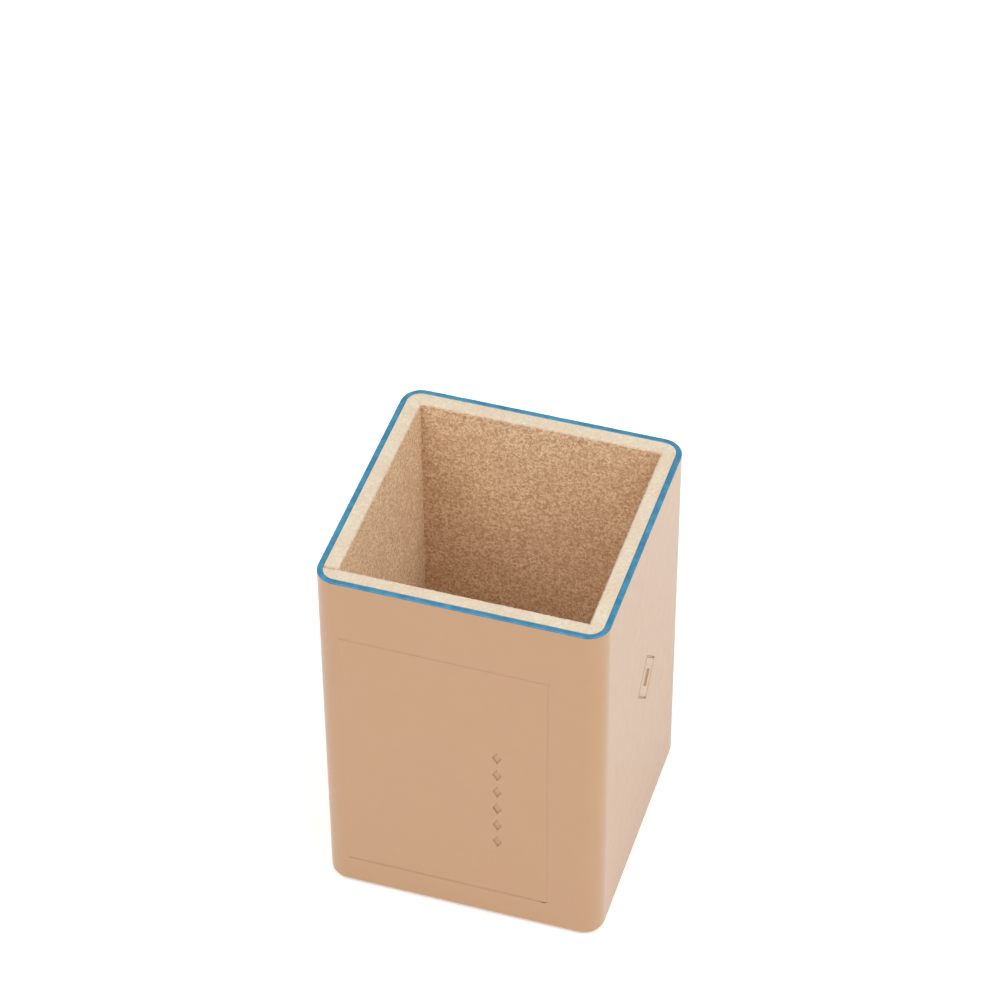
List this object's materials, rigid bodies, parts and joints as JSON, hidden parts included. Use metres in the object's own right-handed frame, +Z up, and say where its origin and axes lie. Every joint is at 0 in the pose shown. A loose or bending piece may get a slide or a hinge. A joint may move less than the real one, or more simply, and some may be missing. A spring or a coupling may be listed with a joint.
{
  "type": "pen holder cup",
  "caption": "Square open-topped desk cup that holds pens upright: board walls and base wrapped in tan leather, lined with cream suede, with a blue painted top edge.",
  "frame": {"origin": "middle of the underside, on the surface the cup stands on", "axes": "+Z up through the open top; -Y out of the front, the side with the off-centre panel and the column of lozenges; +X out of the side with the nested diamonds"},
  "size_m": [0.075, 0.075, 0.11],
  "materials": {
    "wrap_leather": "smooth matte",
    "edge_paint": "satin edge paint",
    "lining_suede": "brushed suede nap",
    "base_suede": "short suede nap",
    "fibreboard": "raw medium-density fibreboard",
    "card": "smooth grey card"
  },
  "bodies": {
    "root": {"leather_wrap": "wrap_leather", "painted_edge": "edge_paint", "front_stiffener": "card", "board_front": "fibreboard", "board_back": "fibreboard", "board_left": "fibreboard", "board_right": "fibreboard", "base_board": "fibreboard", "lining_front": "lining_suede", "lining_back": "lining_suede", "lining_left": "lining_suede", "lining_right": "lining_suede", "lining_floor": "lining_suede", "base_cover": "base_suede"}
  },
  "joints": []
}
